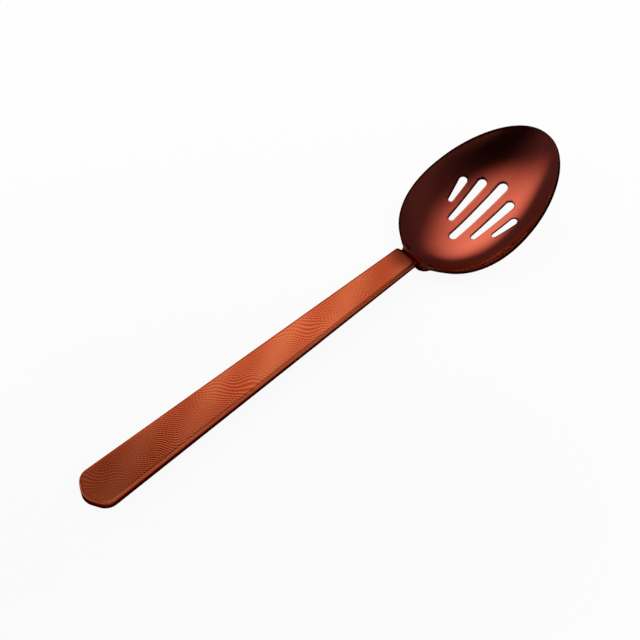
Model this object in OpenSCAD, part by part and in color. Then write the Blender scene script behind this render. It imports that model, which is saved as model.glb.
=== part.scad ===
// Slotted serving spoon with a hollow handle, lying as it rests on a table.
// +X runs from the tail of the handle to the tip of the bowl, +Z is up, millimetres.
// The pieces are first drawn along the handle: x = 0 at its tail, z = 0 on its flat top.
// The last modules then tip them together, so that the tail and the bowl both stand on z = 0.

/* [Handle] */
// Length of the hollow handle, from its tail to the weld at the neck
handle_len = 206; // [150:0.1:250]
// Width of the handle at its tail
tail_w = 23.2; // [19:0.1:30]
// Width of the handle at the neck
neck_w = 13.8; // [11:0.1:18]
// Thickness of the handle at its tail
tail_t = 6; // [5:0.1:8]
// Thickness of the handle at the neck
neck_t = 3.8; // [3.4:0.1:4.8]
// Radius of the two corners at the tail, seen from above
tail_corner_r = 8; // [4:0.1:9]
// How far the middle of the tail stands out beyond its corners
tail_bow = 1.8; // [0:0.1:3]
// Rounding along the upper edges
top_edge_r = 1.6; // [0.9:0.1:2]
// Rounding along the lower edges
bottom_edge_r = 1; // [0.9:0.05:1.4]
// Sheet thickness of the two handle shells
shell_t = 0.8; // [0.4:0.05:0.85]

/* [Welds and tang] */
// Height of the weld bead between the two shells
seam_weld_h = 0.5; // [0.2:0.05:0.8]
// Thickness of the weld that joins the handle to the stem of the bowl
neck_weld_t = 0.6; // [0.3:0.05:1.5]
// Length of the tang inside the handle
tang_len = 55; // [25:1:90]
// Width of the tang
tang_w = 8; // [5:0.1:9]
// Thickness of the tang
tang_t = 1.4; // [0.8:0.1:1.6]
// Diameter of the keying holes in the tang
tang_hole_d = 3; // [1:0.1:4]
// How far the resin filling reaches into the handle
resin_len = 62; // [30:1:100]

/* [Neck] */
// Length of the bend that drops from the handle into the bowl
bend_len = 8.2; // [7:0.1:14]
// Distance from the neck weld to the start of the bowl's rim plane
stem_run = 8.8; // [6:0.1:12]
// How much the stem widens on each side over that distance
stem_flare = 3; // [1:0.1:5]
// Softness of the corner between the stem's flare and the rim
flare_r = 8; // [3:0.1:9]

/* [Bowl] */
// Length of the bowl along its rim
bowl_len = 92.5; // [70:0.1:110]
// Width of the bowl halfway along
bowl_w = 63.8; // [50:0.1:76]
// Depth of the bowl under its rim
bowl_depth = 9.5; // [6:0.1:14]
// Height of the handle's top above the rim, at the neck
bowl_drop = 10.6; // [8:0.1:15]
// Angle between the bowl's rim and the handle, in degrees
rim_angle = 14.6; // [8:0.1:20]
// How far both ends of the rim curl up above its middle
rim_lift = 1.6; // [0:0.1:3]
// Sheet thickness of the bowl
sheet_t = 1.4; // [1:0.1:2]
// Chamfer along the rim
rim_edge = 0.35; // [0.1:0.05:0.45]

/* [Slots] */
// Width of the middle slot at its handle end
slot_near_w = 4.2; // [2:0.1:5]
// Width of the middle slot at its tip end
slot_far_w = 5.5; // [3:0.1:7]

/* [Hidden] */

copper = [0.72, 0.36, 0.26];
weld_copper = [0.66, 0.33, 0.24];
resin = [0.35, 0.33, 0.30];

// One overrun for every cut and for every trimming block
overrun = 5;
// Step used to take a slope by difference
probe = 0.01;
// Chamfer along the stem, where it meets the handle
stem_edge = 1.2;

// The egg: how far the outline leans to the handle end, and how full its curve is
egg_share = 0.13;
rim_power = 2.08;
// The dish: how flat its floor is, and how far its deepest place leans to the handle end
dish_power = 3;
dish_lean_share = 0.29;

// Slots, from the middle one outwards: shares of the bowl's length and half width,
// then shares of the middle slot's two widths
slot_near_shares = [0.256, 0.326, 0.404];
slot_far_shares = [0.637, 0.583, 0.525];
slot_near_side_shares = [0, 0.254, 0.489];
slot_far_side_shares = [0, 0.310, 0.564];
slot_near_w_shares = [1, 0.73, 0.66];
slot_far_w_shares = [1, 0.91, 0.81];

// Where the two keying holes stand along the tang
tang_hole_shares = [0.3, 0.7];

// Sides of every round form, and steps of the arcs along the handle's edges
round_sides = 32;
edge_steps = 4;

// Counts of the grid that the bowl's sheet is worked out on
bend_rows = 18;
dish_rows = 40;
columns = 16;
row_points = 2 * columns + 6;
// The last row stops just before the tip, where the outline would shrink to a point
tip_turn = 88;
// Where along the bowl the stem's flare has ended and the rows begin to close up
dish_start_share = 0.1;

stem_x = handle_len + neck_weld_t;
bowl_x = stem_x + stem_run;
tip_x = bowl_x + bowl_len * cos(rim_angle);
dish_x = bowl_x + bowl_len * dish_start_share;

function mix(a, b, f) = a + (b - a) * f;
function limit(v, low, high) = max(low, min(high, v));
function ease(f) = let (c = limit(f, 0, 1)) c * c * (3 - 2 * c);
function unit(v) = v / norm(v);
// The larger of two lengths, rounded off where they cross
function soft_max(a, b, r) = let (h = max(r - abs(a - b), 0) / r) max(a, b) + h * h * r / 4;

// Handle: both its width and its thickness taper evenly to the neck
function handle_half_w(x) = mix(tail_w, neck_w, x / handle_len) / 2;
function handle_t(x) = mix(tail_t, neck_t, x / handle_len);

// Bowl: x is measured along the handle, y across it
function rim_run(x) = (x - bowl_x) / cos(rim_angle);
function free_span(x) = min(2 * rim_run(x) / bowl_len - 1, 1);
function rim_span(x) = max(free_span(x), -1);
function egg_taper(x) = 1 - egg_share * rim_span(x);
function egg_half_w(x) =
    bowl_w / 2 * egg_taper(x) * pow(max(1 - pow(abs(rim_span(x)), rim_power), 0), 1 / rim_power);
function stem_half_w(x) = neck_w / 2 + stem_flare * pow(limit((x - stem_x) / stem_run, 0, 1), 2);
function sheet_half_w(x) =
    x < dish_x ? soft_max(stem_half_w(x), egg_half_w(x), flare_r) : egg_half_w(x);

// Share of the way from the bottom's centre (0) to the rim (1). In the flare it stays 1 along the
// edges, and grows past 1 on the middle line, where the dish runs up into the neck.
function egg_share_at(x, y) =
    pow(abs(free_span(x)), rim_power) + pow(abs(y) / (bowl_w / 2 * egg_taper(x)), rim_power);
function flare_share_at(x, y) =
    let (aside = pow(abs(y) / sheet_half_w(x), rim_power))
    pow(abs(free_span(x)), rim_power) * (1 - aside) + aside;
function rim_share(x, y) =
    pow(x < dish_x ? flare_share_at(x, y) : min(egg_share_at(x, y), 1), 1 / rim_power);
// Depth under the rim plane
function dish_depth(x, y) =
    bowl_depth * (1 - pow(rim_share(x, y), dish_power)) * (1 - dish_lean_share * free_span(x))
    - rim_lift * pow(free_span(x), 2);
function dish_point(x, y) =
    let (d = dish_depth(x, y), u = rim_run(x))
    [bowl_x + u * cos(rim_angle) + d * sin(rim_angle), y,
     -bowl_drop + u * sin(rim_angle) - d * cos(rim_angle)];

// Bend: share of the way from the flat stem (0) to the dish (1)
function bend_share(x) = ease((x - stem_x) / bend_len);
function top_point(x, y) = mix([x, y, 0], dish_point(x, y), bend_share(x));
function sheet_thickness(x) = mix(neck_t, sheet_t, bend_share(x));
function up_normal(x, y) =
    unit(cross(top_point(x + probe, y) - top_point(x - probe, y),
               top_point(x, y + probe) - top_point(x, y - probe)));
// Direction through the sheet: upright at the handle, square to the dish beyond the bend
function sheet_axis(x, y) = unit(mix([0, 0, 1], up_normal(x, y), bend_share(x)));
function under_point(x, y) = top_point(x, y) - sheet_axis(x, y) * sheet_thickness(x);
function edge_chamfer(x) = min(mix(stem_edge, rim_edge, bend_share(x)), sheet_half_w(x) / 2);

// Rows of the sheet: even steps along the bend, then ever closer ones towards the tip
function row_x(i) =
    i < bend_rows ? mix(stem_x, dish_x, i / bend_rows)
                  : mix(dish_x, tip_x, sin(tip_turn * (i - bend_rows) / dish_rows));
function row(x) =
    let (w = sheet_half_w(x), c = edge_chamfer(x), flat_w = w - c, slope_w = w - probe,
         left = sheet_axis(x, slope_w), right = sheet_axis(x, -slope_w))
    concat([for (j = [0:columns]) top_point(x, mix(-flat_w, flat_w, j / columns))],
           [top_point(x, w) - left * c],
           [top_point(x, w) - left * (sheet_thickness(x) - c)],
           [for (j = [columns:-1:0]) under_point(x, mix(-flat_w, flat_w, j / columns))],
           [top_point(x, -w) - right * (sheet_thickness(x) - c)],
           [top_point(x, -w) - right * c]);

// Resting pose: the line under the tail and the bowl, and the length that it gives
tail_foot = [bottom_edge_r, -handle_t(tail_corner_r)];
bowl_keel = [for (i = [0:bend_rows + dish_rows]) under_point(row_x(i), 0)];
pitch = max([for (p = bowl_keel) atan2(tail_foot[1] - p[2], p[0] - tail_foot[0])]);
floor_drop = tail_foot[0] * sin(pitch) + tail_foot[1] * cos(pitch);
tip_point = under_point(row_x(bend_rows + dish_rows), 0);
tail_end = top_edge_r * sin(pitch);
tip_end = tip_point[0] * cos(pitch) - tip_point[2] * sin(pitch);

module resting() {
    translate([-(tail_end + tip_end) / 2, 0, -floor_drop]) rotate([0, -pitch, 0]) children();
}

function arc(centre, r, from, to, steps) =
    [for (i = [0:steps]) centre + r * [cos(mix(from, to, i / steps)), sin(mix(from, to, i / steps))]];

// Flat disc with rounded edges, its top on z = 0
module rounded_disc(r, t, upper_r, lower_r) {
    rotate_extrude($fn = round_sides)
        polygon(concat([[0, -t]],
                       arc([r - lower_r, lower_r - t], lower_r, -90, 0, edge_steps),
                       arc([r - upper_r, -upper_r], upper_r, 0, 90, edge_steps),
                       [[0, 0]]));
}

module handle_disc(x, y, r, inset) {
    translate([x, y, -inset])
        rounded_disc(r - inset, handle_t(x) - 2 * inset, top_edge_r - inset, bottom_edge_r - inset);
}

// The handle's outer form, or its cavity when inset by the sheet's thickness
module handle_form(inset) {
    neck_r = neck_w / 4;
    corner_x = tail_corner_r + tail_bow;
    end_x = handle_len + overrun + neck_r;
    hull() {
        handle_disc(tail_corner_r, 0, tail_corner_r, inset);
        for (side = [-1, 1]) {
            handle_disc(corner_x, side * (handle_half_w(corner_x) - tail_corner_r), tail_corner_r, inset);
            handle_disc(end_x, side * (handle_half_w(end_x) - neck_r), neck_r, inset);
        }
    }
}

// Block across the handle between two stations, from one share of its thickness to another.
// A share of 0 is the flat top, and the two offsets move the block's faces up or down.
module handle_slab(from_x, to_x, low, high) {
    translate([0, tail_w, 0])
        rotate([90, 0, 0])
            linear_extrude(height = 2 * tail_w)
                polygon([[from_x, low - handle_t(from_x) / 2], [to_x, low - handle_t(to_x) / 2],
                         [to_x, high - handle_t(to_x) / 2], [from_x, high - handle_t(from_x) / 2]]);
}

module handle_wall() {
    difference() {
        handle_form(0);
        handle_form(shell_t);
    }
}

module handle_top_shell() {
    color(copper) resting() intersection() {
        handle_wall();
        handle_slab(-overrun, handle_len, seam_weld_h / 2, tail_t);
    }
}

module handle_bottom_shell() {
    color(copper) resting() intersection() {
        handle_wall();
        handle_slab(-overrun, handle_len, -tail_t, -seam_weld_h / 2);
    }
}

module seam_weld() {
    color(weld_copper) resting() intersection() {
        handle_wall();
        handle_slab(-overrun, handle_len, -seam_weld_h / 2, seam_weld_h / 2);
    }
}

module neck_weld() {
    color(weld_copper) resting() difference() {
        intersection() {
            handle_form(0);
            handle_slab(handle_len, stem_x, -tail_t, tail_t);
        }
        tang_bar();
    }
}

module tang_resin() {
    color(resin) resting() difference() {
        intersection() {
            handle_form(shell_t);
            handle_slab(handle_len - resin_len, handle_len, -tail_t, tail_t);
        }
        tang();
    }
}

// Plain bar of the tang, which runs through the neck weld
module tang_bar() {
    translate([stem_x - tang_len, -tang_w / 2, -(neck_t + tang_t) / 2])
        cube([tang_len + neck_weld_t, tang_w, tang_t]);
}

module tang() {
    difference() {
        tang_bar();
        for (share = tang_hole_shares)
            translate([stem_x - tang_len * share - neck_weld_t, 0, -neck_t])
                cylinder(h = 2 * neck_t, d = tang_hole_d, $fn = round_sides);
    }
}

// Bend and bowl as one pressed sheet
module pressed_sheet() {
    rows = bend_rows + dish_rows;
    low = columns + 3;
    points = [for (i = [0:rows]) each row(row_x(i))];
    walls = [for (i = [0:rows - 1], k = [0:row_points - 1])
                let (a = i * row_points + k, b = i * row_points + (k + 1) % row_points)
                each [[a, b, b + row_points], [a, b + row_points, a + row_points]]];
    cap = concat([for (j = [0:columns - 1]) each [[j, low + columns - j, j + 1],
                                                  [j + 1, low + columns - j, low + columns - j - 1]]],
                 [[columns, low, columns + 2], [columns, columns + 2, columns + 1],
                  [0, row_points - 1, row_points - 2], [0, row_points - 2, low + columns]]);
    tip_cap = [for (f = cap) [f[0], f[2], f[1]] + rows * row_points * [1, 1, 1]];
    polyhedron(points = points, faces = concat(walls, cap, tip_cap));
}

// One round end of a slot, at its shares of the bowl's length and half width
module slot_end(along_share, side_share, width) {
    translate([along_share * bowl_len, side_share * bowl_w / 2, 0])
        cylinder(h = 4 * bowl_depth, d = width, center = true, $fn = round_sides);
}

// One tapered slot, cut square to the rim plane
module slot_cut(i, side) {
    translate([bowl_x, 0, -bowl_drop]) rotate([0, -rim_angle, 0]) hull() {
        slot_end(slot_near_shares[i], side * slot_near_side_shares[i], slot_near_w * slot_near_w_shares[i]);
        slot_end(slot_far_shares[i], side * slot_far_side_shares[i], slot_far_w * slot_far_w_shares[i]);
    }
}

module slotted_bowl() {
    color(copper) resting() {
        difference() {
            pressed_sheet();
            slot_cut(0, 1);
            for (i = [1, 2], side = [-1, 1])
                slot_cut(i, side);
        }
        tang();
    }
}

slotted_bowl();
handle_top_shell();
handle_bottom_shell();
seam_weld();
neck_weld();
tang_resin();
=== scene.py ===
"""Slotted serving spoon with a hollow handle: polished bowl, hammered handle, plain studio.

Shapes are worked out in the handle's own frame, in millimetres: x = 0 at the tail, z = 0 on the
handle's flat top. RestingPose then tips them onto the table and turns them to metres.
"""

import logging
import math
from dataclasses import dataclass, field
from enum import Enum

import bmesh
import bpy
import numpy as np
from mathutils import Matrix, Vector
from mathutils.geometry import delaunay_2d_cdt


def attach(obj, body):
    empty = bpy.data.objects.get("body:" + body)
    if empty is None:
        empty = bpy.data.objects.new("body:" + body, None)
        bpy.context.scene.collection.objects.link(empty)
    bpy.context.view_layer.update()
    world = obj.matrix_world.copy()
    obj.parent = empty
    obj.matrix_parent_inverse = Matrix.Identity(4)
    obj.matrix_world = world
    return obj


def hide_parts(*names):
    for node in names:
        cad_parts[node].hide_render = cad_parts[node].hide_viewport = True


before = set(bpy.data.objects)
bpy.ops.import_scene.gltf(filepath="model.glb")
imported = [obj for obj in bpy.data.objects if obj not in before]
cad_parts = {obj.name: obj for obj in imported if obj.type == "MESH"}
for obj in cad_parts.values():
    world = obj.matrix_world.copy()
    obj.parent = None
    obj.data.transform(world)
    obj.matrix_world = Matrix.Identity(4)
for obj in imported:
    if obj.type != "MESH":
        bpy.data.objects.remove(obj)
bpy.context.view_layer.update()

logging.basicConfig(level=logging.INFO, format="%(message)s")
log = logging.getLogger("spoon")

Array = np.ndarray
Piece = bpy.types.Object
Material = bpy.types.Material
Tree = bpy.types.NodeTree
Node = bpy.types.Node
Socket = bpy.types.NodeSocket

MM = 0.001
BODY = "root"
SHARP_ANGLE = math.radians(50.0)
# Triangulation: output type that leaves out what lies outside, and distance at which points merge.
CDT_INSIDE = 1
CDT_GAP = 1e-6
# A colour mix node's sockets have names that other kinds of mix share, so they go by number.
COLOUR_A = 6
COLOUR_B = 7
MIXED_COLOUR = 2
# Nearly all values of a noise node lie between these two.
NOISE_LOW = 0.3
NOISE_HIGH = 0.7


class Slot(Enum):
    """Names of the record's material slots; the bowl's pieces are paired with two of them, but no piece
    is given one.
    """

    POLISHED = "polished_copper"
    HAMMERED = "hammered_copper"
    SATIN = "satin_copper"
    WELD = "weld_copper"


class ShellSide(Enum):
    """The two pressed halves of the hollow handle."""

    UPPER = 1
    LOWER = -1


def mix(low: Array | float, high: Array | float, share: Array | float) -> Array | float:
    """Straight-line blend of two values.

    Args:
        low: value at share 0.
        high: value at share 1.
        share: place between them.

    Returns:
        low + (high - low) * share.
    """
    return low + (high - low) * share


def ease(value: Array | float, start: float = 0.0, run: float = 1.0) -> Array:
    """Smooth step from 0 to 1.

    Args:
        value: where the step is read.
        start: value at which it starts to rise.
        run: how much further on it is full.

    Returns:
        3 c^2 - 2 c^3, with c = (value - start) / run kept between 0 and 1.
    """
    c = np.clip((value - start) / run, 0.0, 1.0)
    return c * c * (3.0 - 2.0 * c)


def soft_max(a: Array, b: Array, radius: Array | float) -> Array:
    """The larger of two values, rounded off where they cross.

    Args:
        a: first value.
        b: second value.
        radius: how far apart the values still blend.

    Returns:
        max(a, b) + h^2 radius / 4, where h = max(1 - |a - b| / radius, 0).
    """
    h = np.maximum(1.0 - np.abs(a - b) / radius, 0.0)
    return np.maximum(a, b) + h * h * radius / 4.0


def unit(vectors: Array) -> Array:
    """Vectors of length one along the last axis."""
    return vectors / np.linalg.norm(vectors, axis=-1, keepdims=True)


def resample(points: Array, count: int) -> Array:
    """Even steps along a polyline.

    Args:
        points: (n, 2) polyline.
        count: number of points wanted, ends included.

    Returns:
        (count, 2) points at equal arc lengths.
    """
    run = np.concatenate([[0.0], np.cumsum(np.linalg.norm(np.diff(points, axis=0), axis=1))])
    at = np.linspace(0.0, run[-1], count)
    return np.stack([np.interp(at, run, points[:, k]) for k in (0, 1)], axis=1)


def edge_normals(points: Array, turn: float, first: float) -> Array:
    """Unit normals of a line of plan points, square to its tangents.

    Args:
        points: (n, 2) line.
        turn: 1 for normals on the left of the line, -1 for its right.
        first: sideways normal that the first point gets; the last gets its opposite.

    Returns:
        (n, 2) normals.
    """
    tangent = unit(np.gradient(points, axis=0))
    normals = turn * np.column_stack([-tangent[:, 1], tangent[:, 0]])
    normals[[0, -1]] = [[0.0, first], [0.0, -first]]
    return normals


def grid_quads(index: Array) -> Array:
    """Four corners of each cell in a rectangular array of vertex indices."""
    corners = [index[:-1, :-1], index[1:, :-1], index[1:, 1:], index[:-1, 1:]]
    return np.stack(corners, axis=-1).reshape(-1, 4)


@dataclass(frozen=True)
class HandleForm:
    """Outer form of the hollow handle: both its width and its thickness taper evenly."""

    length: float = 206.0
    tail_w: float = 23.2
    neck_w: float = 13.8
    tail_t: float = 6.0
    neck_t: float = 3.8
    corner_r: float = 8.0
    tail_bow: float = 1.8
    top_edge_r: float = 1.6
    bottom_edge_r: float = 1.0
    shell_t: float = 0.8
    seam_h: float = 0.5
    weld_t: float = 0.6
    # Painted neck shade: stations where its parts start or end, runs over which they change, shares
    # of the full shade, and lags, in stations for each millimetre from the middle line.
    shade_from: float = 150.0
    shade_run: float = 45.0
    shade_share: float = 0.25
    tone_from: float = 194.0
    tone_run: float = 15.0
    tone_lag: float = 0.4
    tone_end: float = 206.8
    tone_fall: float = 3.0
    heel_from: float = 213.0
    heel_rise: float = 2.5
    heel_run: float = 14.0
    heel_lag: float = 0.6
    heel_share: float = 0.36
    corner_from: float = 212.9
    corner_end: float = 216.8
    corner_run: float = 1.6
    corner_aside: float = 4.0

    def painted_neck_shade(self, points: Array) -> Array:
        """Share of the painted dark shade round the neck weld, faint on the last of the handle.

        It grows in a smooth step up to the weld, a little later towards the edges, and ends in
        the bend. A weaker patch of painted shade lies in the heel of the bowl and is longer towards
        the edges. A dark patch of painted shade lies in each corner where the stem's flare meets the
        rim.

        Args:
            points: (n, 3) points.

        Returns:
            (n,) shares.
        """
        x, y = points[:, 0], np.abs(points[:, 1])
        rise = self.shade_share * ease(x, self.shade_from, self.shade_run)
        rise += (1.0 - self.shade_share) * ease(x - self.tone_lag * y, self.tone_from, self.tone_run)
        fall = 1.0 - ease(x, self.tone_end, self.tone_fall)
        heel_start = ease(x + self.tone_lag * y, self.heel_from, self.heel_rise)
        heel_end = 1.0 - ease(x - self.heel_lag * y, self.heel_from, self.heel_run)
        corner = ease(x, self.corner_from, self.corner_run)
        corner *= 1.0 - ease(x, self.corner_end, self.corner_run)
        corner *= ease(y, self.corner_aside, self.corner_aside)
        return np.maximum(rise * fall + self.heel_share * heel_start * heel_end, corner)

    def half_w(self, x: Array | float) -> Array | float:
        """Half the width at a station x."""
        return mix(self.tail_w, self.neck_w, x / self.length) / 2.0

    def thickness(self, x: Array | float) -> Array | float:
        """Full thickness at a station x; the tail's rounded end keeps that of its corners."""
        return mix(self.tail_t, self.neck_t, np.maximum(x, self.corner_r) / self.length)


@dataclass(frozen=True)
class HammerPattern:
    """Fine hammered pattern: small round dents on a triangular lattice with meandering rows.

    A wave is its height, its runs along and across the handle in millimetres, and its start.
    """

    pitch: float = 1.35
    depth: float = 0.06
    turn: float = math.radians(-42.6)
    row_share: float = 0.35
    waves_along: tuple[tuple[float, ...], ...] = ((2.0, 61.0, 33.0, 0.6), (0.8, -29.0, 19.0, 2.1))
    waves_across: tuple[tuple[float, ...], ...] = ((2.4, 43.0, 71.0, 1.9), (0.9, 21.0, -37.0, 4.0))
    worn_depth: float = 0.8
    worn_waves: tuple[tuple[float, ...], ...] = ((0.2, 47.0, -23.0, 1.0),)

    def share(self, plan: Array) -> Array:
        """Depth shares, 0 on the ridges and 1 at the bottom of a dent.

        The plan is first shifted by slow waves, which bends the rows. Each dent is then a
        shallow bowl, 1 - (distance / reach)^2 from its centre with a reach of 1 / sqrt(3) of the
        pitch, and the dents of a row run together in a furrow, (1 + cosine of the offset from
        the row) / 2. Slow waves of wear make the whole shallower in places.

        Args:
            plan: (n, 2) stations and offsets.

        Returns:
            (n,) shares.
        """
        x, y = plan[:, 0], plan[:, 1]
        rise = math.sqrt(3.0)

        def waved(value: Array | float, waves: tuple[tuple[float, ...], ...]) -> Array:
            """Add waves to a value.

            Args:
                value: the value.
                waves: height, two runs and start of each.

            Returns:
                The sum.
            """
            for height, run_x, run_y, start in waves:
                value = value + height * np.sin(2.0 * math.pi * (x / run_x + y / run_y) + start)
            return value

        def centre_gap(p: Array, q: Array) -> Array:
            """Squared distance to the nearest centre of a rectangular lattice."""
            return (p - np.round(p)) ** 2 + (q - np.round(q / rise) * rise) ** 2

        u, v = waved(x, self.waves_along), waved(y, self.waves_across)
        p = (u * math.cos(self.turn) + v * math.sin(self.turn)) / self.pitch
        q = (v * math.cos(self.turn) - u * math.sin(self.turn)) / self.pitch
        furrow = 0.5 + 0.5 * np.cos(4.0 * math.pi * q / rise)
        dent = 1.0 - 3.0 * np.minimum(centre_gap(p, q), centre_gap(p - 0.5, q - rise / 2.0))
        return waved(self.worn_depth, self.worn_waves) * (dent + (furrow - dent) * self.row_share)


@dataclass(frozen=True)
class BowlForm:
    """The pressed sheet: stem, bend and dished bowl, as the CAD source describes it."""

    handle: HandleForm = field(default_factory=HandleForm)
    pattern: HammerPattern = field(default_factory=HammerPattern)
    bend_len: float = 8.2
    pattern_run: float = 4.5
    # The pattern gives way to a plain edge here, in shares of the half width.
    plain_from: float = 0.7
    plain_run: float = 0.3
    stem_run: float = 8.8
    stem_flare: float = 3.0
    flare_r: float = 8.0
    length: float = 92.5
    width: float = 63.8
    depth: float = 9.5
    drop: float = 10.6
    rim_angle: float = math.radians(14.6)
    rim_lift: float = 1.6
    sheet_t: float = 1.4
    egg_share: float = 0.13
    rim_power: float = 2.08
    dish_power: float = 3.0
    dish_lean_share: float = 0.29
    dish_start_share: float = 0.1
    stem_round_share: float = 0.6
    keel_bend_steps: int = 18
    keel_dish_steps: int = 40
    keel_turn: float = math.radians(88.0)
    square_passes: int = 3
    # Half the step of central differences.
    probe: float = 0.01

    @property
    def stem_x(self) -> float:
        """Station where the stem meets the neck weld."""
        return self.handle.length + self.handle.weld_t

    @property
    def bowl_x(self) -> float:
        """Station where the rim plane starts."""
        return self.stem_x + self.stem_run

    @property
    def tip_x(self) -> float:
        """Station of the bowl's tip."""
        return self.bowl_x + self.length * math.cos(self.rim_angle)

    @property
    def dish_x(self) -> float:
        """Station where the stem's flare has ended."""
        return self.bowl_x + self.length * self.dish_start_share

    def rim_span(self, x: Array) -> Array:
        """Place along the rim: -1 at its heel, 1 at its tip."""
        run = (x - self.bowl_x) / math.cos(self.rim_angle)
        return np.clip(2.0 * run / self.length - 1.0, -1.0, 1.0)

    def half_w(self, x: Array) -> Array:
        """Half width of the sheet.

        The bowl is a superellipse that narrows evenly to the tip: w (1 - e c) (1 - |c|^n)^(1/n).
        The stem widens with the square of its run, and a soft maximum joins the two.

        Args:
            x: stations along the spoon.

        Returns:
            Half widths in millimetres.
        """
        c = self.rim_span(x)
        fullness = np.maximum(1.0 - np.abs(c) ** self.rim_power, 0.0) ** (1.0 / self.rim_power)
        egg = self.width / 2.0 * (1.0 - self.egg_share * c) * fullness
        run = np.clip((x - self.stem_x) / self.stem_run, 0.0, 1.0)
        stem = self.handle.neck_w / 2.0 + self.stem_flare * run**2
        return np.where(x < self.dish_x, soft_max(stem, egg, self.flare_r), egg)

    def dish_point(self, plan: Array) -> Array:
        """Points of the dished bowl.

        With c the place along the rim and r the radius (1 on the rim), the depth is
        D (1 - r^p) (1 - k c) - lift c^2, measured square to the tilted rim plane. In the egg,
        r^n = |c|^n + (|y| / (w (1 - e c)))^n. In the flare of the stem, with a = |y| / half width,
        r^n = |c|^n (1 - a^n) + a^n, which stays 1 along the edges and grows past 1 on the middle
        line, so that the dish runs up into the neck without a fold.

        Args:
            plan: (n, 2) stations and offsets.

        Returns:
            (n, 3) points.
        """
        x, y = plan[:, 0], np.abs(plan[:, 1])
        c = np.minimum(2.0 * (x - self.bowl_x) / math.cos(self.rim_angle) / self.length - 1.0, 1.0)
        along = np.abs(c) ** self.rim_power
        egg = along + (y / (self.width / 2.0 * (1.0 - self.egg_share * c))) ** self.rim_power
        aside = (y / np.maximum(self.half_w(x), self.probe)) ** self.rim_power
        flare = along * (1.0 - aside) + aside
        radius = np.where(x < self.dish_x, flare, np.minimum(egg, 1.0)) ** (1.0 / self.rim_power)
        rise = 1.0 - radius**self.dish_power
        depth = self.depth * rise * (1.0 - self.dish_lean_share * c) - self.rim_lift * c**2
        sine, cosine = math.sin(self.rim_angle), math.cos(self.rim_angle)
        run = (x - self.bowl_x) / cosine
        level = run * sine - depth * cosine - self.drop
        return np.stack([x + depth * sine, plan[:, 1], level], axis=1)

    def bend_share(self, plan: Array) -> Array:
        """Share of the way from the flat stem to the dish."""
        return ease(plan[:, 0], self.stem_x, self.bend_len)

    def top(self, plan: Array) -> Array:
        """Upper surface: the flat stem blended into the dish by the bend's share."""
        flat = np.column_stack([plan, np.zeros(len(plan))])
        return mix(flat, self.dish_point(plan), self.bend_share(plan)[:, None])

    def up(self, plan: Array) -> Array:
        """Unit normals of the upper surface, from central differences.

        Args:
            plan: (n, 2) stations and offsets.

        Returns:
            (n, 3) normals.
        """
        step_x, step_y = np.array([self.probe, 0.0]), np.array([0.0, self.probe])
        along = self.top(plan + step_x) - self.top(plan - step_x)
        across = self.top(plan + step_y) - self.top(plan - step_y)
        return unit(np.cross(along, across))

    def axis(self, plan: Array) -> Array:
        """Direction through the sheet: upright at the handle, square to the dish past the bend."""
        return unit(mix(np.array([0.0, 0.0, 1.0]), self.up(plan), self.bend_share(plan)[:, None]))

    def thickness(self, plan: Array) -> Array:
        """Sheet thickness: the stem is as thick as the handle, the bowl is plain sheet."""
        return mix(self.handle.neck_t, self.sheet_t, self.bend_share(plan))

    def under(self, plan: Array) -> Array:
        """Lower surface: the upper one moved through the sheet by the thickness."""
        return self.top(plan) - self.axis(plan) * self.thickness(plan)[:, None]

    def painted_neck_shade(self, points: Array) -> Array:
        """Share of the painted dark shade at the neck, the same as on the handle."""
        return self.handle.painted_neck_shade(points)

    def relief(self, plan: Array) -> Array:
        """Depth of the handle's pattern, which runs out along the stem and towards its edges.

        Args:
            plan: (n, 2) stations and offsets.

        Returns:
            (n,) depths in millimetres.
        """
        along = 1.0 - ease(plan[:, 0], self.stem_x, self.pattern_run)
        half_w = self.handle.neck_w / 2.0
        aside = 1.0 - ease(np.abs(plan[:, 1]) / half_w, self.plain_from, self.plain_run)
        return self.pattern.depth * self.pattern.share(plan) * along * aside

    def wall_share(self, plan: Array, share: float) -> Array:
        """How much a ring along an edge counts as wall for the painted shade: less on the stem, whose
        edge is rounder.
        """
        return share - self.stem_round_share * (1.0 - self.bend_share(plan))

    def square_to_rim(self, plan: Array) -> Array:
        """Plan places whose lower points lie square under the given ones.

        Args:
            plan: (n, 2) places on the upper surface.

        Returns:
            (n, 2) places on the lower surface, moved by thickness times the normal's own plan.
        """
        rim_x = np.array([math.cos(self.rim_angle), 0.0, math.sin(self.rim_angle)])
        moved = plan
        for _ in range(self.square_passes):
            normal = self.up(moved)
            lean = np.column_stack([normal @ rim_x * rim_x[0], normal[:, 1]])
            moved = plan + lean * self.thickness(moved)[:, None]
        return moved

    def keel(self) -> Array:
        """Underside's middle line, on the stations that the CAD source uses.

        They are even along the stem, and follow the sine of an even turn along the dish.

        Returns:
            (n, 3) points.
        """
        bend_steps, dish_steps = self.keel_bend_steps, self.keel_dish_steps
        bend = mix(self.stem_x, self.dish_x, np.arange(bend_steps) / bend_steps)
        turn = self.keel_turn * np.arange(dish_steps + 1) / dish_steps
        stations = np.concatenate([bend, mix(self.dish_x, self.tip_x, np.sin(turn))])
        return self.under(np.column_stack([stations, np.zeros_like(stations)]))


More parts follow.
